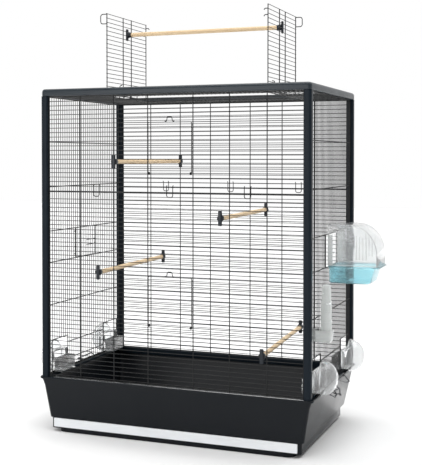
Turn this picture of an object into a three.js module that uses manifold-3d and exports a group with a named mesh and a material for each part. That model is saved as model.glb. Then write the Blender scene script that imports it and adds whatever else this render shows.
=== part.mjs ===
// A parakeet cage on a deep plastic base: square-tube frame, wire panels, drop-down front doors,
// two roof flaps that stand up to carry a play perch, and hung-on feeders, drinker and bird bath.
// Millimetres. X runs to the right, Y to the back, Z up; the origin is under the middle of the base.
import * as THREE from 'three';
import { mergeVertices } from 'three/addons/utils/BufferGeometryUtils.js';
import Module from 'manifold-3d';

// ---------------------------------------------------------------- driving dimensions
const GAP = 0.3;                      // clearance between pieces that touch

const FRAME_X = 395;                  // outer faces of the corner posts, left and right of centre
const FRAME_Y = 245;                  // outer faces of the corner posts, before and behind centre
const TUBE = 20;                      // square tube of the posts and top rails
const TUBE_ROUND = 3;                 // its edge radius
const TUBE_WALL = 1.5;                // and its wall thickness
const CORNER_ROUND = 9;               // plan radius of the roof frame's corners
const FRAME_TOP = 970;

const LEDGE_Z = 134;                  // the base's ledge, which carries the posts and bottom rails
const RIM_TOP = 156;
const RIM_X = 402;
const RIM_Y = 249;
const WALL = 3;                       // plastic thickness of the base
const TUB_BOTTOM = 39;
const TUB_TOP_X = 384;
const TUB_TOP_Y = 245;
const TUB_BOTTOM_X = 374;
const TUB_BOTTOM_FRONT = -238;
const TUB_BOTTOM_BACK = 215;
const PAN_X = 368;                    // the narrower pan below, which houses the drawer
const PAN_FRONT = -238;
const PAN_BACK = 195;
const FOOT_X = 348;                   // the foot strip that the base stands on
const PAN_FLOOR = 13;
const DRAWER_X = 350;
const DRAWER_FRONT_X = 358;
const DRAWER_TOP = 35;

const BOTTOM_RAIL_TOP = 153.7;
const BOTTOM_RAIL_DEPTH = 10;
const THICK_WIRE = 3;
const THIN_WIRE = 2;
const FRONT_WIRES = [66.5, 170.4, 274.3];   // upright wires of the front and back, each side of centre
const MID_RAIL_Z = 678;               // where the upper and lower panels are hooked together
const MID_RAIL = 5;
const LINK_SPACING = 222;             // pitch of the link hooks along the mid rail

const DOOR_X = 59.5;                  // half width of the front doors
const UPPER_DOOR = [734, 872];        // heights of the door openings
const LOWER_DOOR = [319, 453];
const SIDE_DOOR = [476, 566];
const SIDE_DOOR_Y = 62;               // half width of the side door openings
const FEEDER_Y = 158;                 // feeder centres, before and behind the middle
const FEEDER_OPENING = 45;            // half width of a feeder opening
const FEEDER_OPENING_TOP = 251;

const ROOF_Z = 951;                   // underside of the roof wires
const FLAP_X = 243;                   // hinge lines of the roof flaps
const FLAP_Y = 132;                   // half length of a flap along its hinge
const FLAP_HINGE_Z = 958;
const FLAP_TOP = 1192;
const PLAY_PERCH_Z = 1144;
const PERCH_RADIUS = 6.3;

// ---------------------------------------------------------------- finishes
function finish(color, roughness, metalness, opacity = 1) {
  return new THREE.MeshStandardMaterial({ color, roughness, metalness, opacity, transparent: opacity < 1 });
}
const FRAME_PAINT = finish(0x23292e, 0.42, 0.3);
const WIRE_PAINT = finish(0x2b2f31, 0.45, 0.4);
const BASE_PLASTIC = finish(0x1f2224, 0.5, 0);
const DRAWER_PLASTIC = finish(0x2a2d2f, 0.5, 0);
const SILVER_TRIM = finish(0xe6eaec, 0.35, 0.1);
const CLIP_PLASTIC = finish(0x16181a, 0.45, 0);
const CLEAR_PLASTIC = finish(0xe8eef0, 0.12, 0, 0.35);
const MILKY_PLASTIC = finish(0xe2e8e8, 0.3, 0, 0.6);
const BLUE_PLASTIC = finish(0x6ec4dc, 0.18, 0, 0.7);
const BEECH = finish(0xdcbf92, 0.6, 0);

// ---------------------------------------------------------------- solids
const wasm = await Module();
wasm.setup();

function toSolid(geometry) {
  const bare = geometry.index ? geometry.toNonIndexed() : geometry.clone();
  bare.deleteAttribute('normal');
  bare.deleteAttribute('uv');
  const merged = mergeVertices(bare, 1e-4);
  return new wasm.Manifold(new wasm.Mesh({
    numProp: 3,
    vertProperties: new Float32Array(merged.attributes.position.array),
    triVerts: new Uint32Array(merged.index.array),
  }));
}

function toGeometry(solid) {
  const mesh = solid.getMesh();
  const geometry = new THREE.BufferGeometry();
  geometry.setAttribute('position', new THREE.BufferAttribute(mesh.vertProperties, 3));
  geometry.setIndex(new THREE.BufferAttribute(mesh.triVerts, 1));
  return geometry;
}

function join(...geometries) {
  return toGeometry(geometries.map(toSolid).reduce((a, b) => a.add(b)));
}

function cut(geometry, ...tools) {
  return toGeometry(tools.map(toSolid).reduce((a, b) => a.subtract(b), toSolid(geometry)));
}

function common(a, b) {
  return toGeometry(toSolid(a).intersect(toSolid(b)));
}

// ---------------------------------------------------------------- shapes
function block(x, y, z) {
  const [[x0, x1], [y0, y1], [z0, z1]] = [x, y, z];
  const box = new THREE.BoxGeometry(x1 - x0, y1 - y0, z1 - z0);
  return box.translate((x0 + x1) / 2, (y0 + y1) / 2, (z0 + z1) / 2);
}

function roundedRectangle(x0, x1, y0, y1, radius) {
  const shape = new THREE.Shape();
  shape.moveTo(x0 + radius, y0);
  shape.lineTo(x1 - radius, y0);
  shape.absarc(x1 - radius, y0 + radius, radius, -Math.PI / 2, 0);
  shape.lineTo(x1, y1 - radius);
  shape.absarc(x1 - radius, y1 - radius, radius, 0, Math.PI / 2);
  shape.lineTo(x0 + radius, y1);
  shape.absarc(x0 + radius, y1 - radius, radius, Math.PI / 2, Math.PI);
  shape.lineTo(x0, y0 + radius);
  shape.absarc(x0 + radius, y0 + radius, radius, Math.PI, 1.5 * Math.PI);
  return shape;
}

function upright(shape, z0, z1, curveSegments = 3) {
  const options = { depth: z1 - z0, bevelEnabled: false, curveSegments };
  return new THREE.ExtrudeGeometry(shape, options).translate(0, 0, z0);
}

// A shape drawn in (X, Z) and given a thickness along Y.
function facingFront(shape, y0, y1, curveSegments = 3) {
  const options = { depth: y1 - y0, bevelEnabled: false, curveSegments };
  return new THREE.ExtrudeGeometry(shape, options).rotateX(Math.PI / 2).translate(0, y1, 0);
}

// A shape drawn in (Y, Z) and given a thickness along X.
function facingSide(shape, x0, x1, curveSegments = 3) {
  const options = { depth: x1 - x0, bevelEnabled: false, curveSegments };
  const body = new THREE.ExtrudeGeometry(shape, options).rotateX(Math.PI / 2).rotateZ(Math.PI / 2);
  return body.translate(x0, 0, 0);
}

// An upright block whose plan shrinks from its top to its bottom, where it is also moved along Y.
function tapered(shape, z0, z1, scaleX, scaleY, shiftY = 0, curveSegments = 3) {
  const body = upright(shape, z0, z1, curveSegments);
  const points = body.attributes.position;
  for (let i = 0; i < points.count; i += 1) {
    if (points.getZ(i) < z0 + GAP) {
      points.setX(i, points.getX(i) * scaleX);
      points.setY(i, points.getY(i) * scaleY + shiftY);
    }
  }
  return body;
}

function rod(start, end, radius, sides = 10) {
  const along = new THREE.Vector3().subVectors(end, start);
  const turn = new THREE.Quaternion();
  turn.setFromUnitVectors(new THREE.Vector3(0, 1, 0), along.clone().normalize());
  const cylinder = new THREE.CylinderGeometry(radius, radius, along.length(), sides);
  const middle = start.clone().add(end).multiplyScalar(0.5);
  return cylinder.applyQuaternion(turn).translate(middle.x, middle.y, middle.z);
}

// The three ways a flat grid can face: its columns' axis, its rows' axis and its thickness.
const FACING_FRONT = (u, v, thickness) => [u, thickness, v];
const FACING_SIDE = (u, v, thickness) => [thickness, u, v];
const FACING_UP = (u, v, thickness) => [u, v, thickness];

// A welded grid: a plate with a hole in each cell. Bars are {at, size}; openings are larger holes.
function grid(facing, thickness, columns, rows, openings = []) {
  const span = (list) => [list[0].at - list[0].size / 2, list.at(-1).at + list.at(-1).size / 2];
  const between = (list, i) => [list[i].at + list[i].size / 2, list[i + 1].at - list[i + 1].size / 2];
  const through = [thickness[0] - 1, thickness[1] + 1];
  const isOpen = (u, v) => openings.some((o) => u > o.u[0] && u < o.u[1] && v > o.v[0] && v < o.v[1]);
  const holes = openings.map((o) => block(...facing(o.u, o.v, through)));
  for (let i = 0; i + 1 < columns.length; i += 1) {
    for (let j = 0; j + 1 < rows.length; j += 1) {
      const u = between(columns, i);
      const v = between(rows, j);
      if (!isOpen((u[0] + u[1]) / 2, (v[0] + v[1]) / 2)) holes.push(block(...facing(u, v, through)));
    }
  }
  return cut(block(...facing(span(columns), span(rows), thickness)), ...holes);
}

function bars(positions, size) {
  return positions.map((at) => ({ at, size }));
}

function mirrored(positions) {
  return [...positions.map((p) => -p).reverse(), ...positions];
}

// The clear hole between two columns and two rows, given at the bars' centres.
function opening(columnRange, rowRange, columnSize, rowSize) {
  return {
    u: [columnRange[0] + columnSize / 2, columnRange[1] - columnSize / 2],
    v: [rowRange[0] + rowSize / 2, rowRange[1] - rowSize / 2],
  };
}

// ---------------------------------------------------------------- the assembly
const cage = new THREE.Group();

function place(name, geometry, material, position = [0, 0, 0], turnZ = 0) {
  const mesh = new THREE.Mesh(geometry, material);
  mesh.name = name;
  mesh.position.set(...position);
  mesh.rotation.z = turnZ;
  cage.add(mesh);
}

const SIDES = [{ name: 'left', sign: -1 }, { name: 'right', sign: 1 }];
const ENDS = [{ name: 'front', sign: -1 }, { name: 'back', sign: 1 }];

// Base: a tapered tub with an inward ledge and a lip all round, on a narrower pan for the drawer.
function baseTub() {
  const lip = roundedRectangle(-RIM_X, RIM_X, -RIM_Y, RIM_Y, 10);
  const lipInside = roundedRectangle(-RIM_X + WALL, RIM_X - WALL, -RIM_Y + WALL, RIM_Y - WALL, 7);
  const outside = roundedRectangle(-TUB_TOP_X, TUB_TOP_X, -TUB_TOP_Y, TUB_TOP_Y, 22);
  const insideX = TUB_TOP_X - WALL;
  const insideY = TUB_TOP_Y - WALL;
  const inside = roundedRectangle(-insideX, insideX, -insideY, insideY, 19);
  const narrow = [TUB_BOTTOM_X / TUB_TOP_X, (TUB_BOTTOM_BACK - TUB_BOTTOM_FRONT) / (2 * TUB_TOP_Y),
    (TUB_BOTTOM_BACK + TUB_BOTTOM_FRONT) / 2];
  const mouthX = FRAME_X - TUBE - 1;
  const mouthY = FRAME_Y - TUBE - 1;
  const walls = cut(
    tapered(outside, TUB_BOTTOM, LEDGE_Z - 1, ...narrow),
    tapered(inside, TUB_BOTTOM + WALL, LEDGE_Z + WALL, ...narrow),
  );
  const rim = cut(
    upright(lip, LEDGE_Z - WALL, RIM_TOP),
    upright(lipInside, LEDGE_Z, RIM_TOP + WALL),
    upright(roundedRectangle(-mouthX, mouthX, -mouthY, mouthY, 8), LEDGE_Z - 2 * WALL, RIM_TOP),
  );
  const slot = block([-DRAWER_X, DRAWER_X], [-225, 183], [TUB_BOTTOM - WALL, TUB_BOTTOM + 2 * WALL]);
  return join(cut(walls, slot), rim);
}

// The pan's floor stands on a foot strip and is stiffened below by two crossing ribs.
function basePan() {
  const outline = roundedRectangle(-PAN_X, PAN_X, PAN_FRONT, PAN_BACK, 12);
  const hollow = roundedRectangle(-PAN_X + WALL, PAN_X - WALL, PAN_FRONT + WALL, PAN_BACK - WALL, 9);
  const foot = roundedRectangle(-FOOT_X, FOOT_X, PAN_FRONT + 1, PAN_BACK - 4, 24);
  const footInside = roundedRectangle(-FOOT_X + WALL, FOOT_X - WALL, PAN_FRONT + 1 + WALL,
    PAN_BACK - 4 - WALL, 21);
  const underside = cut(
    upright(footInside, -WALL, PAN_FLOOR - WALL),
    block([-PAN_X, PAN_X], [-4, 4], [-2 * WALL, PAN_FLOOR]),
    block([-4, 4], [PAN_FRONT, PAN_BACK], [-2 * WALL, PAN_FLOOR]),
  );
  const shell = join(
    upright(outline, PAN_FLOOR - WALL, TUB_BOTTOM - GAP),
    upright(foot, 0, PAN_FLOOR - WALL / 2),
  );
  return cut(
    shell,
    upright(hollow, PAN_FLOOR, TUB_BOTTOM + WALL),
    block([-DRAWER_FRONT_X - GAP, DRAWER_FRONT_X + GAP], [PAN_FRONT - WALL, PAN_FRONT + 2 * WALL],
      [PAN_FLOOR, TUB_BOTTOM + WALL]),
    underside,
  );
}

function drawerTray() {
  const back = PAN_BACK - 2 * WALL - 1;
  const floor = PAN_FLOOR + GAP;
  return cut(
    block([-DRAWER_X, DRAWER_X], [PAN_FRONT + 3, back], [floor, DRAWER_TOP]),
    block([-DRAWER_X + 2, DRAWER_X - 2], [PAN_FRONT + 5, back - 2], [floor + 2, DRAWER_TOP + WALL]),
  );
}

function drawerFront() {
  const face = roundedRectangle(-DRAWER_FRONT_X, DRAWER_FRONT_X, PAN_FLOOR + 2 * GAP, TUB_BOTTOM - 1, 2);
  return facingFront(face, PAN_FRONT - 3, PAN_FRONT + 3 - GAP);
}

function floorGrille() {
  const columns = bars(mirrored([51, 154, 257, 360]), THICK_WIRE);
  const rows = bars([-224, -122, -12, 98, 205], THICK_WIRE);
  return grid(FACING_UP, [TUB_BOTTOM + WALL + GAP, TUB_BOTTOM + 2 * WALL + GAP], columns, rows);
}

// A sprung wire clip that pivots by its foot beside the tub's wall; its head hooks over the rim.
const CLIP_FOOT_Z = 104;
const CLIP_HEAD_Z = 160.5;
const CLIP_WIRE = 2.4;

function trayClip() {
  const outer = [RIM_X + 2, RIM_X + 2 + CLIP_WIRE];
  const crossWire = [-10.2, 10.2];
  const level = (z) => [z, z + CLIP_WIRE];
  return join(
    block(outer, [-10.2, -7.8], [CLIP_FOOT_Z, CLIP_HEAD_Z + CLIP_WIRE]),
    block(outer, [7.8, 10.2], [CLIP_FOOT_Z, CLIP_HEAD_Z + CLIP_WIRE]),
    block(outer, crossWire, level(146)),
    block(outer, crossWire, level(CLIP_HEAD_Z)),
    block([391, outer[1]], [-3, 3], level(CLIP_HEAD_Z)),
    block([383, outer[1]], crossWire, level(CLIP_FOOT_Z)),
  );
}

place('base_tub', baseTub(), BASE_PLASTIC);
place('base_pan', basePan(), BASE_PLASTIC);
place('drawer_tray', drawerTray(), DRAWER_PLASTIC);
place('drawer_front', drawerFront(), SILVER_TRIM);
place('floor_grille', floorGrille(), WIRE_PAINT);
place('tray_clip_right', trayClip(), CLIP_PLASTIC, [0, 40, 0]);
place('tray_clip_left', trayClip(), CLIP_PLASTIC, [0, 40, 0], Math.PI);

// Frame: four posts, four top rails with rounded corners, four flat bottom rails.
function post() {
  const bore = TUBE / 2 - TUBE_WALL;
  const section = roundedRectangle(-TUBE / 2, TUBE / 2, -TUBE / 2, TUBE / 2, TUBE_ROUND);
  section.holes.push(roundedRectangle(-bore, bore, -bore, bore, TUBE_ROUND - TUBE_WALL));
  return upright(section, LEDGE_Z + GAP, FRAME_TOP - TUBE - GAP);
}

// The long rails carry the roof's four rounded corners; the short ones butt between them.
function topRail(length, hasCorners) {
  const half = length / 2;
  const bore = TUBE / 2 - TUBE_WALL;
  const section = roundedRectangle(-TUBE / 2, TUBE / 2, FRAME_TOP - TUBE, FRAME_TOP, 5);
  section.holes.push(roundedRectangle(-bore, bore, FRAME_TOP - TUBE + TUBE_WALL, FRAME_TOP - TUBE_WALL, 3.5));
  const bar = facingSide(section, -half, half);
  if (!hasCorners) return bar;
  const plan = new THREE.Shape();
  plan.moveTo(-half, TUBE / 2);
  plan.lineTo(-half, -TUBE / 2 + CORNER_ROUND);
  plan.absarc(-half + CORNER_ROUND, -TUBE / 2 + CORNER_ROUND, CORNER_ROUND, Math.PI, 1.5 * Math.PI);
  plan.lineTo(half - CORNER_ROUND, -TUBE / 2);
  plan.absarc(half - CORNER_ROUND, -TUBE / 2 + CORNER_ROUND, CORNER_ROUND, -Math.PI / 2, 0);
  plan.lineTo(half, TUBE / 2);
  return common(bar, upright(plan, FRAME_TOP - TUBE - 1, FRAME_TOP + 1, 4));
}

function bottomRail(length) {
  const half = length / 2;
  const depth = BOTTOM_RAIL_DEPTH / 2;
  const section = roundedRectangle(-depth, depth, LEDGE_Z + GAP, BOTTOM_RAIL_TOP, 2);
  return facingSide(section, -half, half, 2);
}

const POST_X = FRAME_X - TUBE / 2;
const POST_Y = FRAME_Y - TUBE / 2;
const INNER_X = FRAME_X - TUBE - GAP;      // panel edges, just inside the posts
const INNER_Y = FRAME_Y - TUBE - GAP;
for (const end of ENDS) {
  for (const side of SIDES) {
    place(`post_${end.name}_${side.name}`, post(), FRAME_PAINT, [side.sign * POST_X, end.sign * POST_Y, 0]);
  }
  const turn = end.sign < 0 ? 0 : Math.PI;
  place(`top_rail_${end.name}`, topRail(2 * FRAME_X, true), FRAME_PAINT, [0, end.sign * POST_Y, 0], turn);
  place(`bottom_rail_${end.name}`, bottomRail(2 * INNER_X), FRAME_PAINT, [0, end.sign * POST_Y, 0]);
}
for (const side of SIDES) {
  const at = [side.sign * POST_X, 0, 0];
  place(`top_rail_${side.name}`, topRail(2 * INNER_Y, false), FRAME_PAINT, at, Math.PI / 2);
  place(`bottom_rail_${side.name}`, bottomRail(2 * INNER_Y), FRAME_PAINT, at, Math.PI / 2);
}

// Wire panels. The front and back are each an upper and a lower panel hooked to a mid rail.
const HALF_WIRE = THICK_WIRE / 2;
const LOWER_EDGES = [154 + HALF_WIRE, MID_RAIL_Z - MID_RAIL / 2 - GAP - HALF_WIRE];
const UPPER_EDGES = [MID_RAIL_Z + MID_RAIL / 2 + GAP + HALF_WIRE, FRAME_TOP - TUBE - GAP - HALF_WIRE];
const FACE_COLUMNS = bars(mirrored([...FRONT_WIRES, INNER_X - HALF_WIRE]), THICK_WIRE);

function facePanel(edges, crossWires, door) {
  const ends = bars(edges, THICK_WIRE);
  const rows = [ends[0], ...bars(crossWires, THIN_WIRE), ends[1]];
  const openings = door ? [opening([-FRONT_WIRES[0], FRONT_WIRES[0]], door, THICK_WIRE, THIN_WIRE)] : [];
  return grid(FACING_FRONT, [-HALF_WIRE, HALF_WIRE], FACE_COLUMNS, rows, openings);
}

const LOWER_WIRES = [237, LOWER_DOOR[0], 386, LOWER_DOOR[1], 527, 601];
const UPPER_WIRES = [UPPER_DOOR[0], 803, UPPER_DOOR[1]];
for (const end of ENDS) {
  const doors = end.name === 'front';
  const at = [0, end.sign * POST_Y, 0];
  place(`panel_${end.name}_lower`, facePanel(LOWER_EDGES, LOWER_WIRES, doors && LOWER_DOOR), WIRE_PAINT, at);
  place(`panel_${end.name}_upper`, facePanel(UPPER_EDGES, UPPER_WIRES, doors && UPPER_DOOR), WIRE_PAINT, at);
}

// The mid rail with its three U-shaped link hooks, which stand just outside the wires.
function midRail(outward) {
  const leg = 1.3;
  const plane = outward * (MID_RAIL / 2 + 0.7);
  const hook = (x) => [
    block([x - 9 - leg, x - 9 + leg], [plane - leg, plane + leg], [668, 698]),
    block([x + 9 - leg, x + 9 + leg], [plane - leg, plane + leg], [668, 698]),
    block([x - 9 - leg, x + 9 + leg], [plane - leg, plane + leg], [666.6, 669.2]),
  ];
  const rail = block([-INNER_X, INNER_X], [-MID_RAIL / 2, MID_RAIL / 2],
    [MID_RAIL_Z - MID_RAIL / 2, MID_RAIL_Z + MID_RAIL / 2]);
  return join(rail, ...[-LINK_SPACING, 0, LINK_SPACING].flatMap(hook));
}
for (const end of ENDS) {
  place(`mid_rail_${end.name}`, midRail(end.sign), WIRE_PAINT, [0, end.sign * POST_Y, 0]);
}

function sidePanel() {
  const feederEdges = [FEEDER_Y - FEEDER_OPENING, FEEDER_Y + FEEDER_OPENING];
  const columns = bars([...mirrored([SIDE_DOOR_Y, ...feederEdges, INNER_Y - HALF_WIRE]), 0], THICK_WIRE)
    .sort((a, b) => a.at - b.at);
  const rows = bars([LOWER_EDGES[0], FEEDER_OPENING_TOP, 354, ...SIDE_DOOR, 693, 821, UPPER_EDGES[1]],
    THICK_WIRE);
  const feederRows = [rows[0].at, rows[1].at];
  const openings = [
    opening([-SIDE_DOOR_Y, SIDE_DOOR_Y], SIDE_DOOR, THICK_WIRE, THICK_WIRE),
    opening([-feederEdges[1], -feederEdges[0]], feederRows, THICK_WIRE, THICK_WIRE),
    opening(feederEdges, feederRows, THICK_WIRE, THICK_WIRE),
  ];
  return grid(FACING_SIDE, [-HALF_WIRE, HALF_WIRE], columns, rows, openings);
}
for (const side of SIDES) {
  place(`panel_${side.name}`, sidePanel(), WIRE_PAINT, [side.sign * POST_X, 0, 0]);
}

function roofGrille() {
  const columns = bars(mirrored([49, 146, FLAP_X, 308, INNER_X - HALF_WIRE]), THICK_WIRE);
  const rows = bars(mirrored([44, FLAP_Y, INNER_Y - HALF_WIRE]), THICK_WIRE);
  const hatch = opening([-FLAP_X, FLAP_X], [-FLAP_Y, FLAP_Y], THICK_WIRE, THICK_WIRE);
  return grid(FACING_UP, [ROOF_Z, ROOF_Z + THICK_WIRE], columns, rows, [hatch]);
}
place('roof_grille', roofGrille(), WIRE_PAINT);

// Doors: each laps its opening from outside, turns on its bottom wire and has a sprung hook on top.
const DOOR_PLANE = FRAME_Y - TUBE / 2 + HALF_WIRE + 2.2;      // middle of the door wires, from the centre

function frontDoor([bottom, top]) {
  const columns = bars([-DOOR_X, 0, DOOR_X], THIN_WIRE + 0.6);
  const rows = bars([bottom, bottom + (top - bottom) / 3, top - (top - bottom) / 3, top], THIN_WIRE + 0.6);
  const y = [-DOOR_PLANE - 1.3, -DOOR_PLANE + 1.3];
  return join(
    grid(FACING_FRONT, y, columns, rows),
    block([-8, -5.4], y, [top, top + 15]),
    block([5.4, 8], y, [top, top + 15]),
    block([-8, 8], y, [top + 13, top + 15.6]),
  );
}
place('door_front_upper', frontDoor(UPPER_DOOR), WIRE_PAINT);
place('door_front_lower', frontDoor(LOWER_DOOR), WIRE_PAINT);

function sideDoor() {
  const columns = bars([-SIDE_DOOR_Y + 1, 0, SIDE_DOOR_Y - 1], THIN_WIRE + 0.6);
  const rows = bars([SIDE_DOOR[0] + 1, (SIDE_DOOR[0] + SIDE_DOOR[1]) / 2, SIDE_DOOR[1] - 1], THIN_WIRE + 0.6);
  const plane = DOOR_PLANE - POST_Y;
  const x = [-POST_X - plane - 1.3, -POST_X - plane + 1.3];
  return join(
    grid(FACING_SIDE, x, columns, rows),
    block(x, [SIDE_DOOR_Y, SIDE_DOOR_Y + 33], [512, 514.6]),
    block(x, [SIDE_DOOR_Y, SIDE_DOOR_Y + 33], [525, 527.6]),
    block(x, [SIDE_DOOR_Y + 32, SIDE_DOOR_Y + 34.6], [512, 527.6]),
  );
}
place('door_left', sideDoor(), WIRE_PAINT);

// Roof flaps: each stands on its hinge wire, with a loop handle and two short catch prongs on top.
function roofFlap(outward, handleEnd) {
  const columns = bars([-FLAP_Y, -27.5, 27.5, FLAP_Y], THICK_WIRE);
  const rows = bars([FLAP_HINGE_Z, 1016, 1075, 1133, FLAP_TOP - HALF_WIRE], THICK_WIRE);
  const x = (a, b) => (outward > 0 ? [a, b] : [-b, -a]);
  const y = (from, to) => {
    const ends = [handleEnd * (FLAP_Y - from), handleEnd * (FLAP_Y - to)];
    return ends.sort((a, b) => a - b);
  };
  const prong = (offset, z) => {
    const ends = [-handleEnd * (FLAP_Y - offset), -handleEnd * (FLAP_Y - offset - 2.6)];
    return block(x(-13, 0), ends.sort((a, b) => a - b), [z, z + 2.6]);
  };
  return join(
    grid(FACING_SIDE, [-HALF_WIRE, HALF_WIRE], columns, rows),
    block(x(0, 22), y(0, 2.6), [FLAP_TOP - 3, FLAP_TOP - 0.4]),
    block(x(0, 22), y(0, 2.6), [FLAP_TOP - 31, FLAP_TOP - 28.4]),
    block(x(19.4, 22), y(0, 2.6), [FLAP_TOP - 31, FLAP_TOP - 0.4]),
    prong(0, FLAP_TOP - 14),
    prong(0, FLAP_TOP - 30),
  );
}
place('roof_flap_left', roofFlap(-1, -1), WIRE_PAINT, [-FLAP_X, 0, 0]);
place('roof_flap_right', roofFlap(1, 1), WIRE_PAINT, [FLAP_X, 0, 0]);

// Perches: a beech rod pressed into a plastic clip at each end. A clip is a flat bar with a socket.
const CLIP_PLATE = 4;
const CLIP_DEPTH = 13;

function perchClip(height) {
  const plate = block([0, CLIP_PLATE], [-5, 5], [-height / 2, height / 2]);
  const body = rod(new THREE.Vector3(0, 0, 0), new THREE.Vector3(CLIP_DEPTH, 0, 0), 9.5, 12);
  const bore = rod(new THREE.Vector3(CLIP_PLATE, 0, 0), new THREE.Vector3(CLIP_DEPTH + 1, 0, 0),
    PERCH_RADIUS + GAP, 12);
  return cut(join(plate, body), bore);
}

// Lays a perch between two wall points, each clip's plate flat on its wall and its rod between them.
function placePerch(name, start, end, clipHeight, clipNames) {
  const along = new THREE.Vector3().subVectors(end, start);
  const turn = Math.atan2(along.y, along.x);
  const inset = CLIP_PLATE + GAP;
  const half = along.length() / 2 - inset;
  const stick = rod(new THREE.Vector3(-half, 0, 0), new THREE.Vector3(half, 0, 0), PERCH_RADIUS, 12);
  const middle = start.clone().add(end).multiplyScalar(0.5);
  place(name, stick, BEECH, middle.toArray(), turn);
  place(`${name}_clip_${clipNames[0]}`, perchClip(clipHeight), CLIP_PLASTIC, start.toArray(), turn);
  place(`${name}_clip_${clipNames[1]}`, perchClip(clipHeight), CLIP_PLASTIC, end.toArray(), turn + Math.PI);
}

// Inner perches span from the front wires to the back wires; each is {name, xFront, xBack, z}.
const PERCHES = [
  { name: 'perch_high', xFront: -170, xBack: -170, z: 765 },
  { name: 'perch_middle', xFront: 144, xBack: 118, z: 615 },
  { name: 'perch_left', xFront: -219, xBack: -231, z: 457 },
  { name: 'perch_low', xFront: 260, xBack: 230, z: 257 },
];
for (const { name, xFront, xBack, z } of PERCHES) {
  const skewRoom = 5 * Math.abs(xFront - xBack) / (2 * POST_Y);
  const y = POST_Y - HALF_WIRE - GAP - skewRoom;
  const start = new THREE.Vector3(xFront, -y, z);
  placePerch(name, start, new THREE.Vector3(xBack, y, z), 40, ['front', 'back']);
}
const playReach = FLAP_X - HALF_WIRE - GAP - 0.2;
const playStart = new THREE.Vector3(-playReach, 0, PLAY_PERCH_Z);
placePerch('play_perch', playStart, new THREE.Vector3(playReach, 0, PLAY_PERCH_Z), 35, ['left', 'right']);

// Feeder: a clear hooded cup outside, a neck through the opening and a short trough inside.
const FEEDER_TOP = 248;
const FEEDER_BOTTOM = 146;
const FEEDER_FLOOR = 159;             // the neck and trough pass over the base's lip
const FEEDER_RADIUS = 42;
const FEEDER_FACE = 404 - POST_X;     // back of the round cup, outside the wires

function feederBowl(shrink) {
  const radius = FEEDER_RADIUS - shrink;
  const top = FEEDER_TOP - shrink;
  const bottom = FEEDER_BOTTOM + shrink;
  const dome = 34;
  const profile = [new THREE.Vector2(0, bottom), new THREE.Vector2(radius - 8, bottom),
    new THREE.Vector2(radius, bottom + 10)];
  for (let i = 0; i <= 3; i += 1) {
    const angle = (i / 3) * (Math.PI / 2);
    const reach = i === 3 ? 0 : radius * Math.cos(angle);
    profile.push(new THREE.Vector2(reach, top - dome + dome * Math.sin(angle)));
  }
  const whole = new THREE.LatheGeometry(profile, 16).rotateX(Math.PI / 2);
  const half = block([shrink > 0 ? -1 : 0, 60], [-60, 60], [0, 300]);
  return common(whole, half).translate(FEEDER_FACE, 0, 0);
}

function feeder() {
  const wall = 2;
  const neck = block([-4, FEEDER_FACE + 1], [-FEEDER_RADIUS, FEEDER_RADIUS], [FEEDER_FLOOR, FEEDER_TOP - 6]);
  const neckInside = block([-40, FEEDER_FACE + 2], [-FEEDER_RADIUS + wall, FEEDER_RADIUS - wall],
    [FEEDER_FLOOR + wall, FEEDER_TOP - 6 - wall]);
  const trough = block([-28, -3], [-38, 38], [FEEDER_FLOOR, 192]);
  const troughInside = block([-26, 0], [-36, 36], [FEEDER_FLOOR + wall, 200]);
  const shell = join(feederBowl(0), neck);
  const hollow = join(neckInside, feederBowl(wall));
  return cut(join(cut(shell, hollow), trough), troughInside);
}
for (const end of ENDS) {
  for (const side of SIDES) {
    const turn = side.sign > 0 ? 0 : Math.PI;
    const at = [side.sign * POST_X, end.sign * FEEDER_Y, 0];
    place(`feeder_${end.name}_${side.name}`, feeder(), CLEAR_PLASTIC, at, turn);
  }
}

// Bird bath: a tapered tub with a lip, and a clear hood that is open towards the doorway.
const BATH_FACE = 390;                // the bath hangs outside the side wires
const BATH_BOTTOM = 434;
const BATH_RIM = 481;
const BATH_TOP = 594;
const BATH_Y = 62;

function bathTub() {
  const wall = 2;
  const reach = 130;
  const plan = (x0, inset) => roundedRectangle(x0, reach - inset, -BATH_Y + inset, BATH_Y - inset, 22 - inset);
  const lip = roundedRectangle(0, reach + 12, -BATH_Y - 3, BATH_Y + 3, 24);
  return cut(
    join(tapered(plan(0, 0), BATH_BOTTOM, BATH_RIM, 0.87, 0.93), upright(lip, BATH_RIM - 3, BATH_RIM)),
    tapered(plan(wall, wall), BATH_BOTTOM + wall, BATH_RIM + 1, 0.87, 0.93),
  ).translate(BATH_FACE, 0, 0);
}

function bathHood() {
  const side = (x0, shrink) => {
    const shape = new THREE.Shape();
    const top = BATH_TOP - shrink;
    const reach = 136 - shrink;
    shape.moveTo(x0, BATH_RIM + GAP - (shrink > 0 ? 5 : 0));
    shape.lineTo(reach, BATH_RIM + GAP - (shrink > 0 ? 5 : 0));
    shape.lineTo(reach, 512);
    shape.absellipse(reach - 74, 512, 74, top - 512, 0, Math.PI / 2);
    shape.lineTo(x0, top);
    return shape;
  };
  const shell = facingFront(side(0, 0), -BATH_Y + 2, BATH_Y - 2, 6);
  const inside = facingFront(side(8, 2), -BATH_Y + 4, BATH_Y - 4, 6);
  const doorway = block([-5, 10], [-48, 48], [BATH_RIM + 2, 566]);
  return cut(shell, inside, doorway).translate(BATH_FACE, 0, 0);
}
place('bath_tub', bathTub(), BLUE_PLASTIC);
place('bath_hood', bathHood(), CLEAR_PLASTIC);

// Drinker: an upturned water tube outside, standing in a trough that reaches in between the wires.
const DRINKER = { x: 411, y: -150, radius: 15, bottom: 291, top: 443 };

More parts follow.
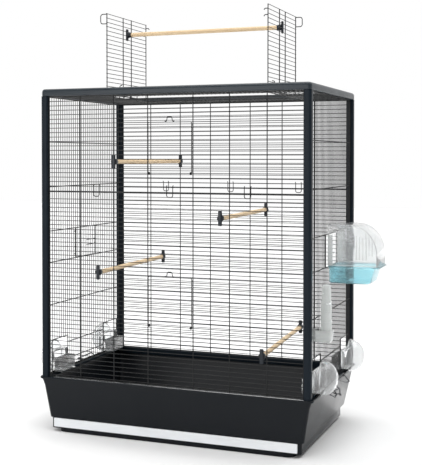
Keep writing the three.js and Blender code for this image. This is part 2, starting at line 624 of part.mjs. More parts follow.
function drinkerTube() {
  const wall = 1.5;
  const profile = [[0, DRINKER.top], [9, DRINKER.top - 1], [DRINKER.radius, DRINKER.top - 9],
    [DRINKER.radius, 316], [DRINKER.radius - wall, 316], [DRINKER.radius - wall, DRINKER.top - 10],
    [8, DRINKER.top - 3], [0, DRINKER.top - 3]];
  const points = profile.map(([r, z]) => new THREE.Vector2(r, z)).reverse();
  return new THREE.LatheGeometry(points, 16).rotateX(Math.PI / 2).translate(DRINKER.x, DRINKER.y, 0);
}

function drinkerTrough() {
  const plan = roundedRectangle(358, DRINKER.x + 17, DRINKER.y - 17, DRINKER.y + 17, 8);
  const inside = roundedRectangle(360, DRINKER.x + 15.5, DRINKER.y - 15.5, DRINKER.y + 15.5, 6.5);
  const saddle = block([DRINKER.x - 14, DRINKER.x + 14], [DRINKER.y - 1, DRINKER.y + 1], [292, 315.5]);
  return join(cut(upright(plan, DRINKER.bottom, 322), upright(inside, DRINKER.bottom + 2, 323)), saddle);
}
place('drinker_tube', drinkerTube(), MILKY_PLASTIC);
place('drinker_trough', drinkerTrough(), MILKY_PLASTIC);

export default cage;
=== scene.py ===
import math

import bmesh
import bpy
from mathutils import Matrix, Vector


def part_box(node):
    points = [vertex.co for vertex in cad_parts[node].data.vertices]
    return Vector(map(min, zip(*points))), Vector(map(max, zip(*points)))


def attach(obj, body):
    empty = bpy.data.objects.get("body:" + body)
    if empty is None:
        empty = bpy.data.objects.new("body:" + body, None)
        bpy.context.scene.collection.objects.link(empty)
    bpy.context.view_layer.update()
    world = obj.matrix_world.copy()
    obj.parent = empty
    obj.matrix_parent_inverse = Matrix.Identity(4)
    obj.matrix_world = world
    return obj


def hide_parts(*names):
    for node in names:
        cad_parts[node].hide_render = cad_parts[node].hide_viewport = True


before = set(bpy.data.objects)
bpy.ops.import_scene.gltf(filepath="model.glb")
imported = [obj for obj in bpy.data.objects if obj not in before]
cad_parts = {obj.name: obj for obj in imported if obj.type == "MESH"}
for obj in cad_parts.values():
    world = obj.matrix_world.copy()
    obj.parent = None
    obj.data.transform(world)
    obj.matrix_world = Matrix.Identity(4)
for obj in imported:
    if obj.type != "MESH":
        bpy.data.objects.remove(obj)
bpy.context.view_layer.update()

# Pieces are modelled in millimetres and brought to metres when they are made.
MM = 0.001
OUTWARD = {"front": -1, "back": 1, "left": -1, "right": 1}

PITCH = 12.2                        # spacing of the thin wires
THIN, THICK = 0.95, 1.45            # radii of the thin and the thick wires
LAYER = 1.2                         # the thin wires lie this far outside the thick ones
HOOK_WIRE, SPRING_WIRE = 1.3, 1.2   # radii of the wire in hooks and latches and in sprung hooks
COIL, FLAP_COIL, COIL_WIRE = 2.6, 2.7, 1.1  # radii of the hinge coils and of their wire
UPRIGHTS = (66.5, 170.4, 274.3)     # thick uprights of the front and back, each side of the middle
RAIL_Z = 681                        # the bar between the lower and the upper panels
FRONT_DOORS = {"lower": (319, 453), "upper": (734, 872)}    # foot and head of each front door
DOOR_HALF = 64.5
SIDE_DOOR_HALF, SIDE_DOOR_Z = 62, (476, 566)
FEEDER_Y, FEEDER_HALF = 158, 45     # middle of a feeder's opening, and half its width
FEEDER_HEAD = 251                   # the wire over a feeder's opening
FEEDER_WIRES = (182, 231)           # cross wires that stop at the feeders' openings
CROSS_WIRES = (*FEEDER_WIRES, 354, *SIDE_DOOR_Z, 693, 821)  # thick wires across the side panels
HATCH_X, HATCH_Y = 243, 132         # half the length and half the width of the open roof hatch
MIDDLE_WIRE = 27.5                  # the roof's and flaps' inner thick wires, each side of the middle
FRAME_FOOT = 147                    # the frame's lower end, hidden behind the tub's lip


def node_box(node):
    low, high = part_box(node)
    return low / MM, high / MM


# ---------------------------------------------------------------- finishes
def surface_group():
    """Mottles a colour and its gloss in soft patches and gives the surface a fine grain."""
    group = bpy.data.node_groups.new("surface", "ShaderNodeTree")
    sockets = group.interface
    for label, kind in (("Color", "NodeSocketColor"), ("Patch Color", "NodeSocketColor"),
                        ("Gloss Low", "NodeSocketFloat"), ("Gloss High", "NodeSocketFloat"),
                        ("Patch Scale", "NodeSocketFloat"), ("Grain Scale", "NodeSocketFloat"),
                        ("Grain Depth", "NodeSocketFloat")):
        sockets.new_socket(label, in_out="INPUT", socket_type=kind)
    for label, kind in (("Color", "NodeSocketColor"), ("Roughness", "NodeSocketFloat"),
                        ("Normal", "NodeSocketVector")):
        sockets.new_socket(label, in_out="OUTPUT", socket_type=kind)
    nodes, links = group.nodes, group.links
    given, result = nodes.new("NodeGroupInput"), nodes.new("NodeGroupOutput")
    place = nodes.new("ShaderNodeTexCoord")
    patches = nodes.new("ShaderNodeTexNoise")
    patches.inputs["Detail"].default_value = 4
    spread = nodes.new("ShaderNodeMapRange")
    spread.inputs["From Min"].default_value = 0.35
    spread.inputs["From Max"].default_value = 0.65
    tint = nodes.new("ShaderNodeMix")
    tint.data_type = "RGBA"
    gloss = nodes.new("ShaderNodeMapRange")
    grain = nodes.new("ShaderNodeTexNoise")
    bump = nodes.new("ShaderNodeBump")
    bump.inputs["Strength"].default_value = 0.35
    links.new(place.outputs["Object"], patches.inputs["Vector"])
    links.new(place.outputs["Object"], grain.inputs["Vector"])
    links.new(given.outputs["Patch Scale"], patches.inputs["Scale"])
    links.new(given.outputs["Grain Scale"], grain.inputs["Scale"])
    links.new(patches.outputs["Fac"], spread.inputs["Value"])
    links.new(spread.outputs["Result"], tint.inputs["Factor"])
    links.new(given.outputs["Color"], tint.inputs["A"])
    links.new(given.outputs["Patch Color"], tint.inputs["B"])
    links.new(spread.outputs["Result"], gloss.inputs["Value"])
    links.new(given.outputs["Gloss Low"], gloss.inputs["To Min"])
    links.new(given.outputs["Gloss High"], gloss.inputs["To Max"])
    links.new(grain.outputs["Fac"], bump.inputs["Height"])
    links.new(given.outputs["Grain Depth"], bump.inputs["Distance"])
    links.new(tint.outputs["Result"], result.inputs["Color"])
    links.new(gloss.outputs["Result"], result.inputs["Roughness"])
    links.new(bump.outputs["Normal"], result.inputs["Normal"])
    return group


SURFACE = surface_group()


def finish(name, color, patch_color, roughness, patch_scale=9, grain_scale=900, grain_depth=0.0002, **shader):
    """A material whose surface comes from the shared group; shader sets the Principled's own sockets."""
    material = bpy.data.materials.new(name)
    material.use_nodes = True
    principled = material.node_tree.nodes["Principled BSDF"]
    surface = material.node_tree.nodes.new("ShaderNodeGroup")
    surface.node_tree = SURFACE
    surface.inputs["Color"].default_value = (*color, 1)
    surface.inputs["Patch Color"].default_value = (*patch_color, 1)
    surface.inputs["Gloss Low"].default_value, surface.inputs["Gloss High"].default_value = roughness
    surface.inputs["Patch Scale"].default_value = patch_scale
    surface.inputs["Grain Scale"].default_value = grain_scale
    surface.inputs["Grain Depth"].default_value = grain_depth
    for output, socket in (("Color", "Base Color"), ("Roughness", "Roughness"), ("Normal", "Normal")):
        material.node_tree.links.new(surface.outputs[output], principled.inputs[socket])
    for socket, value in shader.items():
        principled.inputs[socket.replace("_", " ")].default_value = value
    material.diffuse_color = (*color, 1)
    return material


FRAME_PAINT = finish("frame_paint", (0.0065, 0.011, 0.0165), (0.0095, 0.0145, 0.0205), (0.32, 0.4),
                     patch_scale=14, grain_scale=1400, grain_depth=0.0003, Specular_IOR_Level=0.1)
# A lighter, glossier copy of the frame paint for the roof ring: a painted highlight for the light that its
# rounded top catches.
RING_PAINTED_HIGHLIGHT = finish("ring_painted_highlight", (0.014, 0.021, 0.028), (0.019, 0.027, 0.034), (0.3, 0.38),
                    patch_scale=14, grain_scale=1400, grain_depth=0.0003, Specular_IOR_Level=0.35)
# A lighter copy of the frame paint with a strong clear coat, used on the front sill only: a painted highlight
# for the bright line along the front rim.
SILL_PAINTED_HIGHLIGHT = finish("sill_painted_highlight", (0.016, 0.024, 0.031), (0.022, 0.031, 0.038), (0.06, 0.1),
                    patch_scale=14, grain_scale=1400, grain_depth=0.00002, Coat_Weight=1, Coat_IOR=3)
WIRE_PAINT = finish("wire_paint", (0.012, 0.013, 0.0135), (0.019, 0.0195, 0.02), (0.34, 0.48),
                    patch_scale=40, grain_scale=2200, Specular_IOR_Level=0.2)
BASE_PLASTIC = finish("base_plastic", (0.006, 0.0078, 0.0102), (0.0075, 0.0093, 0.0118), (0.22, 0.27),
                      patch_scale=5, grain_scale=1100, grain_depth=0.00015, Specular_IOR_Level=0.15)
# A darker copy of the base plastic for the floor slats and the litter tray: painted shade for the dim inside
# of the tub.
TRAY_SHADED_PLASTIC = finish("tray_painted_shade", (0.0035, 0.0042, 0.005), (0.006, 0.007, 0.008), (0.36, 0.46),
                      Specular_IOR_Level=0.25)
SILVER = finish("silver_trim", (0.8, 0.83, 0.85), (0.86, 0.88, 0.9), (0.3, 0.38), grain_depth=0.0001)
CLIP_PLASTIC = finish("clip_plastic", (0.005, 0.008, 0.013), (0.008, 0.012, 0.018), (0.28, 0.4),
                      patch_scale=30, Specular_IOR_Level=0.35)
CLEAR_PLASTIC = finish("clear_plastic", (0.985, 0.99, 0.99), (0.96, 0.975, 0.98), (0.02, 0.07),
                       patch_scale=25, grain_scale=90, grain_depth=0.0003, Transmission_Weight=0.85, IOR=1.3)
MILKY_PLASTIC = finish("milky_plastic", (0.95, 0.97, 0.96), (0.9, 0.93, 0.92), (0.16, 0.28),
                       patch_scale=45, Transmission_Weight=0.55, IOR=1.4)
BLUE_PLASTIC = finish("blue_plastic", (0.54, 0.86, 0.93), (0.63, 0.9, 0.95), (0.03, 0.1),
                      patch_scale=18, grain_scale=90, grain_depth=0.0003, Transmission_Weight=0.9, IOR=1.45)


def wood_finish(name, pale, dark, along):
    """Straight grain that runs along one axis, with fine open pores."""
    along_grain, across_grain = 6, 150
    material = bpy.data.materials.new(name)
    material.use_nodes = True
    nodes, links = material.node_tree.nodes, material.node_tree.links
    principled = nodes["Principled BSDF"]
    place, stretch = nodes.new("ShaderNodeTexCoord"), nodes.new("ShaderNodeMapping")
    stretch.inputs["Scale"].default_value = tuple(along_grain if axis == along else across_grain
                                                  for axis in "XYZ")
    grain, pores = nodes.new("ShaderNodeTexNoise"), nodes.new("ShaderNodeTexNoise")
    grain.inputs["Scale"].default_value = 1
    grain.inputs["Detail"].default_value = 6
    pores.inputs["Scale"].default_value = 4
    tint, gloss = nodes.new("ShaderNodeValToRGB"), nodes.new("ShaderNodeMapRange")
    bump = nodes.new("ShaderNodeBump")
    tint.color_ramp.elements[0].position, tint.color_ramp.elements[1].position = 0.3, 0.7
    tint.color_ramp.elements[0].color, tint.color_ramp.elements[1].color = (*dark, 1), (*pale, 1)
    gloss.inputs["To Min"].default_value, gloss.inputs["To Max"].default_value = 0.48, 0.62
    bump.inputs["Strength"].default_value, bump.inputs["Distance"].default_value = 0.3, 0.0004
    links.new(place.outputs["Object"], stretch.inputs["Vector"])
    for noise in (grain, pores):
        links.new(stretch.outputs["Vector"], noise.inputs["Vector"])
    links.new(grain.outputs["Fac"], tint.inputs["Fac"])
    links.new(grain.outputs["Fac"], gloss.inputs["Value"])
    links.new(pores.outputs["Fac"], bump.inputs["Height"])
    links.new(tint.outputs["Color"], principled.inputs["Base Color"])
    links.new(gloss.outputs["Result"], principled.inputs["Roughness"])
    links.new(bump.outputs["Normal"], principled.inputs["Normal"])
    return material


PALE_BEECH, DARK_BEECH = (0.8, 0.62, 0.4), (0.7, 0.51, 0.3)
BEECH_ALONG_Y = wood_finish("beech_cross", PALE_BEECH, DARK_BEECH, "Y")
BEECH_ALONG_X = wood_finish("beech_long", PALE_BEECH, DARK_BEECH, "X")


# ---------------------------------------------------------------- making pieces
def make_piece(name, bm, material, slot, body, *nodes, crease=35):
    bmesh.ops.scale(bm, vec=(MM, MM, MM), verts=bm.verts)
    mesh = bpy.data.meshes.new(name)
    bm.to_mesh(mesh)
    bm.free()
    mesh.shade_smooth()
    mesh.set_sharp_from_angle(angle=math.radians(crease))
    mesh.materials.append(material)
    piece = bpy.data.objects.new(name, mesh)
    bpy.context.scene.collection.objects.link(piece)
    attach(piece, body)
    if nodes:
        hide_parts(*nodes)
    return piece


def give_wall(piece, thickness):
    """Thickens an open shell inwards."""
    wall = piece.modifiers.new("wall", "SOLIDIFY")
    wall.thickness, wall.offset = thickness * MM, -1


def wire(bm, start, end, radius, sides=8):
    start, end = Vector(start), Vector(end)
    turn = (end - start).to_track_quat("Z", "Y").to_matrix().to_4x4()
    bmesh.ops.create_cone(bm, cap_ends=True, segments=sides, radius1=radius, radius2=radius,
                          depth=(end - start).length, matrix=Matrix.Translation((start + end) / 2) @ turn)


def pull_face(bm, face, shift):
    """Extrudes one face and moves it; gives the new face."""
    pulled = bmesh.ops.extrude_face_region(bm, geom=[face])["geom"]
    bmesh.ops.translate(bm, vec=shift, verts=[v for v in pulled if isinstance(v, bmesh.types.BMVert)])
    return next(f for f in pulled if isinstance(f, bmesh.types.BMFace))


def bent_wire(bm, corners, radius, bend=4, sides=8, steps=4):
    """One length of round wire through the given points, with its corners bent round."""
    corners = [Vector(c) for c in corners]
    before = set(bm.faces)
    heading = (corners[1] - corners[0]).normalized()
    start = Matrix.Translation(corners[0]) @ heading.to_track_quat("Z", "Y").to_matrix().to_4x4()
    ring = bmesh.ops.create_circle(bm, cap_ends=True, segments=sides, radius=radius, matrix=start)
    face = ring["verts"][0].link_faces[0]
    tip = corners[0]
    for here, following in zip(corners[1:], corners[2:] + [None]):
        if following is None:
            pull_face(bm, face, here - tip)
            break
        turned = (following - here).normalized()
        angle = heading.angle(turned)
        setback = bend * math.tan(angle / 2)
        stop = here - heading * setback
        if (stop - tip).dot(heading) > 0.01:
            face = pull_face(bm, face, stop - tip)
        axis = heading.cross(turned).normalized()
        bent = bmesh.ops.spin(bm, geom=[face], cent=stop + axis.cross(heading) * bend, axis=axis,
                              angle=angle, steps=steps, use_duplicate=False)["geom_last"]
        face = next(f for f in bent if isinstance(f, bmesh.types.BMFace))
        tip, heading = here + turned * setback, turned
    bmesh.ops.recalc_face_normals(bm, faces=[f for f in bm.faces if f not in before])


def coil(bm, centre, axis, radius, thickness, sides=8, steps=16):
    """A closed ring of wire round an axis."""
    centre, axis = Vector(centre), Vector(axis).normalized()
    out = axis.orthogonal().normalized()
    frame_turn = Matrix((out, axis, out.cross(axis))).transposed().to_4x4()
    before = set(bm.verts)
    ring = bmesh.ops.create_circle(bm, segments=sides, radius=thickness,
                                   matrix=Matrix.Translation(centre + out * radius) @ frame_turn)
    edges = list({e for v in ring["verts"] for e in v.link_edges})
    bmesh.ops.spin(bm, geom=ring["verts"] + edges, cent=centre, axis=axis, angle=2 * math.pi,
                   steps=steps, use_merge=True, use_duplicate=False)
    made = [v for v in bm.verts if v not in before]
    bmesh.ops.recalc_face_normals(bm, faces=list({f for v in made for f in v.link_faces}))


def round_over(bm, edges, radius, segments, clamp=False):
    bmesh.ops.bevel(bm, geom=edges, offset=radius, offset_type="OFFSET", segments=segments, profile=0.5,
                    affect="EDGES", material=-1, clamp_overlap=clamp)


def plain_block(bm, low, high):
    """A box between two corners; gives its vertices."""
    low, high = Vector(low), Vector(high)
    place = Matrix.Translation((low + high) / 2) @ Matrix.Diagonal((*(high - low), 1))
    return bmesh.ops.create_cube(bm, size=1, matrix=place)["verts"]


def rounded_block(bm, low, high, radius=1.0, segments=2):
    edges = {e for v in plain_block(bm, low, high) for e in v.link_edges}
    round_over(bm, list(edges), radius, segments, clamp=True)


def open_block(bm, low, high, is_open):
    """A box without the faces for which is_open holds."""
    faces = {f for v in plain_block(bm, low, high) for f in v.link_faces}
    bmesh.ops.delete(bm, geom=[f for f in faces if is_open(f)], context="FACES")


def upright_edges(bm):
    return [e for e in bm.edges if abs(e.verts[0].co.z - e.verts[1].co.z) > 1]


def pull_rim(bm, rim):
    """Extrudes an open rim; gives its new vertices and its new edges."""
    pulled = bmesh.ops.extrude_edge_only(bm, edges=rim)["geom"]
    verts = [v for v in pulled if isinstance(v, bmesh.types.BMVert)]
    return verts, [e for e in pulled if isinstance(e, bmesh.types.BMEdge) and e.is_boundary]


def hollow_out(bm, caps, top_wall, foot_wall):
    """Opens a solid from its foot to its top and leaves walls of the given thickness."""
    for cap in caps:
        thickness = top_wall if cap.normal.z > 0 else foot_wall
        bmesh.ops.inset_region(bm, faces=[cap], thickness=thickness, depth=0, use_even_offset=True)
    edges = [e for cap in caps for e in cap.edges]
    bmesh.ops.delete(bm, geom=caps, context="FACES_ONLY")
    bmesh.ops.bridge_loops(bm, edges=edges)
    bmesh.ops.recalc_face_normals(bm, faces=bm.faces)


def turned_shape(bm, profile, steps=24, matrix=Matrix.Identity(4)):
    """Spins (radius, height) points round the upright axis and then places the shape with the matrix."""
    before = set(bm.verts)
    verts = [bm.verts.new((r, 0, z)) for r, z in profile]
    edges = [bm.edges.new(pair) for pair in zip(verts, verts[1:])]
    bmesh.ops.spin(bm, geom=verts + edges, cent=(0, 0, 0), axis=(0, 0, 1), angle=2 * math.pi,
                   steps=steps, use_merge=True, use_duplicate=False)
    made = [v for v in bm.verts if v not in before]
    bmesh.ops.remove_doubles(bm, verts=made, dist=0.001)
    made = [v for v in bm.verts if v not in before]
    bmesh.ops.recalc_face_normals(bm, faces=list({f for v in made for f in v.link_faces}))
    bmesh.ops.transform(bm, matrix=matrix, verts=made)
    return made


def softened(name, node, material, slot, body, radius=0.8):
    """A copy of a CAD node with its edges rounded over."""
    bm = bmesh.new()
    bm.from_mesh(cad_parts[node].data)
    bmesh.ops.scale(bm, vec=(1 / MM, 1 / MM, 1 / MM), verts=bm.verts)
    bmesh.ops.remove_doubles(bm, verts=bm.verts, dist=0.01)
    bmesh.ops.dissolve_limit(bm, angle_limit=math.radians(1), verts=bm.verts, edges=bm.edges)
    corners = [e for e in bm.edges if e.is_manifold and e.calc_face_angle() > math.radians(50)]
    round_over(bm, corners, radius, segments=2, clamp=True)
    make_piece(name, bm, material, slot, body, node)


# ---------------------------------------------------------------- camera, light and floor
def set_up_camera(scene):
    camera = bpy.data.objects.new("camera", bpy.data.cameras.new("camera"))
    camera.location = (1.0543, -2.6422, 0.7759)
    camera.rotation_euler = (math.radians(88.77), 0, math.radians(21.155))
    camera.data.lens = 75.39
    camera.data.shift_x, camera.data.shift_y = -0.0035, -0.1157
    scene.collection.objects.link(camera)
    scene.camera = camera
    scene.view_settings.view_transform = "Standard"


def set_up_world(scene):
    """A white backdrop; what the cage mirrors fades from dim in front to bright behind."""
    world = bpy.data.worlds.new("studio")
    world.use_nodes = True
    nodes, links = world.node_tree.nodes, world.node_tree.links
    nodes.clear()
    towards, split = nodes.new("ShaderNodeTexCoord"), nodes.new("ShaderNodeSeparateXYZ")
    fade, sky = nodes.new("ShaderNodeMapRange"), nodes.new("ShaderNodeBackground")
    backdrop, path = nodes.new("ShaderNodeBackground"), nodes.new("ShaderNodeLightPath")
    blend, output = nodes.new("ShaderNodeMixShader"), nodes.new("ShaderNodeOutputWorld")
    fade.inputs["From Min"].default_value, fade.inputs["From Max"].default_value = -0.4, 0.35
    fade.inputs["To Min"].default_value, fade.inputs["To Max"].default_value = 0.3, 1.1
    backdrop.inputs["Color"].default_value = (1, 1, 1, 1)
    links.new(towards.outputs["Generated"], split.inputs["Vector"])
    links.new(split.outputs["Y"], fade.inputs["Value"])
    links.new(fade.outputs["Result"], sky.inputs["Strength"])
    links.new(path.outputs["Is Camera Ray"], blend.inputs["Fac"])
    links.new(sky.outputs["Background"], blend.inputs[1])
    links.new(backdrop.outputs["Background"], blend.inputs[2])
    links.new(blend.outputs["Shader"], output.inputs["Surface"])
    scene.world = world


def add_light(scene, name, kind, place, aim, power, size):
    """A sun's size is its angle in degrees, an area light's its width and height in metres."""
    lamp = bpy.data.lights.new(name, kind)
    lamp.energy = power
    if kind == "SUN":
        lamp.angle = math.radians(size)
    else:
        lamp.shape = "RECTANGLE"
        lamp.size, lamp.size_y = size
    light = bpy.data.objects.new(name, lamp)
    light.location = place
    light.rotation_euler = (Vector(aim) - Vector(place)).to_track_quat("-Z", "Y").to_euler()
    light.visible_camera = False
    scene.collection.objects.link(light)


def lay_floor(scene):
    paper = bpy.data.materials.new("floor_paper")
    paper.use_nodes = True
    sockets = paper.node_tree.nodes["Principled BSDF"].inputs
    sockets["Base Color"].default_value = (0.71, 0.71, 0.71, 1)
    sockets["Roughness"].default_value = 0.9
    sockets["Specular IOR Level"].default_value = 0.1
    bm = bmesh.new()
    bmesh.ops.create_grid(bm, x_segments=1, y_segments=1, size=12)
    mesh = bpy.data.meshes.new("floor")
    bm.to_mesh(mesh)
    bm.free()
    mesh.materials.append(paper)
    floor = bpy.data.objects.new("floor", mesh)
    scene.collection.objects.link(floor)


def set_up_studio():
    scene = bpy.context.scene
    set_up_camera(scene)
    set_up_world(scene)
    add_light(scene, "overhead", "SUN", (0.35, 0.1, 3.0), (0, 0, 0), 3.3, 70)
    add_light(scene, "front_fill", "AREA", (-0.9, -3.0, 1.3), (0, 0, 0.4), 36, (2.0, 2.0))
    add_light(scene, "floor_bounce", "AREA", (0.5, 0.35, 0.006), (0.48, 0.35, 1), 0.5, (0.24, 1.3))
    add_light(scene, "left_rim", "AREA", (-2.5, 0.1, 1.1), (-0.39, -0.24, 0.6), 22, (0.8, 1.8))
    lay_floor(scene)


set_up_studio()


# ---------------------------------------------------------------- wire panels and doors
def rows_between(bottom, top, through=None):
    """Heights of the thin wires, spaced so that one falls on each of the two heights in through."""
    margin = 4
    if not through:
        count = round((top - bottom) / PITCH)
        return [bottom + (top - bottom) * i / count for i in range(1, count)]
    step = (through[1] - through[0]) / round((through[1] - through[0]) / PITCH)
    first = math.ceil((bottom + margin - through[0]) / step)
    last = math.floor((top - margin - through[0]) / step)
    return [through[0] + step * i for i in range(first, last + 1)]


def face_panel(end, level):
    node = f"panel_{end}_{level}"
    low, high = node_box(node)
    plane = (low.y + high.y) / 2
    thin = plane + OUTWARD[end] * LAYER
    bottom, top = low.z + THICK, high.z - THICK
    foot, head, outer_edge = low.z, RAIL_Z - 1, bottom
    if level == "upper":
        foot, head, outer_edge = RAIL_Z + 1, high.z, top
    bm = bmesh.new()
    for x in (low.x + THICK, high.x - THICK, *(-x for x in UPRIGHTS), *UPRIGHTS):
        wire(bm, (x, plane, foot), (x, plane, head), THICK)
    wire(bm, (low.x, plane, outer_edge), (high.x, plane, outer_edge), THICK)
    door_foot, door_head = FRONT_DOORS[level]
    for z in rows_between(bottom, top, FRONT_DOORS[level]):
        if end == "front" and door_foot + 1 < z < door_head - 1:
            wire(bm, (low.x, thin, z), (-UPRIGHTS[0], thin, z), THIN)
            wire(bm, (UPRIGHTS[0], thin, z), (high.x, thin, z), THIN)
        else:
            wire(bm, (low.x, thin, z), (high.x, thin, z), THIN)
    make_piece(f"wires_{end}_{level}", bm, WIRE_PAINT, "wire_paint", "cage", node)


def mid_rail(end):
    """The bar between the two panels, with the U-shaped hooks that hold the panels together."""
    low, high = node_box(f"mid_rail_{end}")
    rail_y, rail_radius = OUTWARD[end] * 235, 2.2
    hook_y, hook_half = rail_y + OUTWARD[end] * 3.6, 9
    tip_y = hook_y - OUTWARD[end] * 3
    foot, shoulder, tip = RAIL_Z - 12, RAIL_Z + 18, RAIL_Z + 20
    bm = bmesh.new()
    wire(bm, (low.x, rail_y, RAIL_Z), (high.x, rail_y, RAIL_Z), rail_radius, sides=12)
    for middle in (-222, 0, 222):
        left, right = middle - hook_half, middle + hook_half
        bent_wire(bm, ((left, tip_y, tip), (left, hook_y, shoulder), (left, hook_y, foot),
                       (right, hook_y, foot), (right, hook_y, shoulder), (right, tip_y, tip)),
                  SPRING_WIRE, bend=6, steps=5)
    make_piece(f"link_rail_{end}", bm, WIRE_PAINT, "wire_paint", "cage", f"mid_rail_{end}")


def side_panel(side):
    node = f"panel_{side}"
    low, high = node_box(node)
    plane = (low.x + high.x) / 2
    thin = plane + OUTWARD[side] * LAYER
    bottom, top, edge = low.z + THICK, high.z - THICK, high.y - THICK
    near, far = FEEDER_Y - FEEDER_HALF, FEEDER_Y + FEEDER_HALF
    door_foot, door_head = SIDE_DOOR_Z
    bm = bmesh.new()
    for y in (-edge, edge):
        wire(bm, (plane, y, low.z), (plane, y, high.z), THICK)
    for z in (bottom, top, *CROSS_WIRES):
        breaks = (low.y, -far, -near, near, far, high.y) if z in FEEDER_WIRES else (low.y, high.y)
        for start, end in zip(breaks[::2], breaks[1::2]):
            wire(bm, (plane, start, z), (plane, end, z), THICK)
    for sign in (-1, 1):
        for y in (near, far):
            wire(bm, (plane, sign * y, low.z), (plane, sign * y, FEEDER_HEAD + 1), THICK)
        wire(bm, (plane, sign * near, FEEDER_HEAD), (plane, sign * far, FEEDER_HEAD), THICK)
        door_side = sign * SIDE_DOOR_HALF
        wire(bm, (plane, door_side, door_foot), (plane, door_side, door_head), THIN)
    thin_wires_each_side, wires_over_door = 17, 4
    for i in range(-thin_wires_each_side, thin_wires_each_side + 1):
        y = i * SIDE_DOOR_HALF / 5
        stretches = [(low.z, high.z)]
        if abs(i) <= wires_over_door:
            stretches = [(low.z, door_foot), (door_head, high.z)]
        elif near < abs(y) < far:
            stretches = [(FEEDER_HEAD, high.z)]
        for start, end in stretches:
            wire(bm, (thin, y, start), (thin, y, end), THIN)
    make_piece(f"wires_{side}", bm, WIRE_PAINT, "wire_paint", "cage", node)


def roof():
    """Thin wires run from front to back; the hatch between the flaps is open and edged with small hooks."""
    low, high = node_box("roof_grille")
    level = (low.z + high.z) / 2
    thin = level - LAYER
    bm = bmesh.new()
    for x in (low.x + THICK, high.x - THICK, -HATCH_X, HATCH_X):
        wire(bm, (x, low.y, level), (x, high.y, level), THICK)
    for y in (low.y + THICK, high.y - THICK, -HATCH_Y, HATCH_Y):
        wire(bm, (low.x, y, level), (high.x, y, level), THICK)
    for y in (-MIDDLE_WIRE, MIDDLE_WIRE):
        wire(bm, (low.x, y, level), (-HATCH_X, y, level), THICK)
        wire(bm, (HATCH_X, y, level), (high.x, y, level), THICK)
    count, clear_of_edge = round((high.x - low.x) / PITCH), 4
    for i in range(1, count):
        x = low.x + (high.x - low.x) * i / count
        if abs(x) > HATCH_X + clear_of_edge:
            wire(bm, (x, low.y, thin), (x, high.y, thin), THIN)
        elif abs(x) < HATCH_X - clear_of_edge:
            wire(bm, (x, low.y, thin), (x, -HATCH_Y, thin), THIN)
            wire(bm, (x, HATCH_Y, thin), (x, high.y, thin), THIN)
    for side in (-1, 1):
        x = side * (HATCH_X - 4.5)
        for y in (-58, 58):
            hook = ((x + side * 3, y, 951), (x, y, 957), (x, y, 988), (x - side * 7, y, 990))
            bent_wire(bm, hook, HOOK_WIRE, bend=3)
    make_piece("wires_roof", bm, WIRE_PAINT, "wire_paint", "cage", "roof_grille")


def front_door(level):
    """A wire door that hangs on two coils at its foot and has a sprung hook at its head."""
    node = f"door_front_{level}"
    low, high = node_box(node)
    bottom, top = FRONT_DOORS[level]
    plane = (low.y + high.y) / 2
    thin, hook_y = plane + 0.8, plane - 0.4
    left, right = -DOOR_HALF, DOOR_HALF
    bm = bmesh.new()
    for x, radius in ((left, 1.9), (right, 1.5)):
        wire(bm, (x, plane, bottom), (x, plane, top - 4), radius)
    bent_wire(bm, ((left, plane, top - 9), (left, plane, top), (right, plane, top), (right, plane, top - 9)),
              1.0, bend=5)
    for z in rows_between(bottom, top, (bottom, top)):
        wire(bm, (left, thin, z), (right, thin, z), THIN)
    for x in (left + 3, right - 3):
        for shift in (-1.3, 1.3):
            coil(bm, (x + shift, plane + 0.4, bottom), (1, 0, 0), COIL, COIL_WIRE)
    bent_wire(bm, ((-14, hook_y, top + 3), (-9, hook_y, top), (-6.5, hook_y, top + 14.3),
                   (6.5, hook_y, top + 14.3), (9, hook_y, top), (14, hook_y, top + 3)),
              SPRING_WIRE, bend=3.5)
    make_piece(f"door_wires_{level}", bm, WIRE_PAINT, "wire_paint", node, node)


def left_door():
    """A wire door that hangs on two coils at its front edge; its latch is a loop of wire."""
    low, high = node_box("door_left")
    plane = (low.x + high.x) / 2
    thin, latch_x = plane + 0.8, plane - 0.4
    bottom, top, edge = SIDE_DOOR_Z[0] + 1, SIDE_DOOR_Z[1] - 1, SIDE_DOOR_HALF - 1
    latch_foot, latch_head, latch_start = 509, 524, 12
    bm = bmesh.new()
    bent_wire(bm, ((plane, 0, bottom), (plane, edge, bottom), (plane, edge, top), (plane, -edge, top),
                   (plane, -edge, bottom), (plane, 0, bottom)), 0.8, bend=5)
    for i in range(-4, 5):
        wire(bm, (thin, i * edge / 5, bottom), (thin, i * edge / 5, top), THIN)
    for z in (bottom + 10, top - 10):
        coil(bm, (plane + 0.4, -edge, z), (0, 0, 1), COIL, COIL_WIRE)
    bent_wire(bm, ((latch_x, latch_start, latch_head), (latch_x, edge + 7, latch_head),
                   (latch_x, edge + 7, latch_foot), (latch_x, latch_start, latch_foot)),
              HOOK_WIRE, bend=6, steps=5)
    make_piece("door_wires_left", bm, WIRE_PAINT, "wire_paint", "door_left", "door_left")


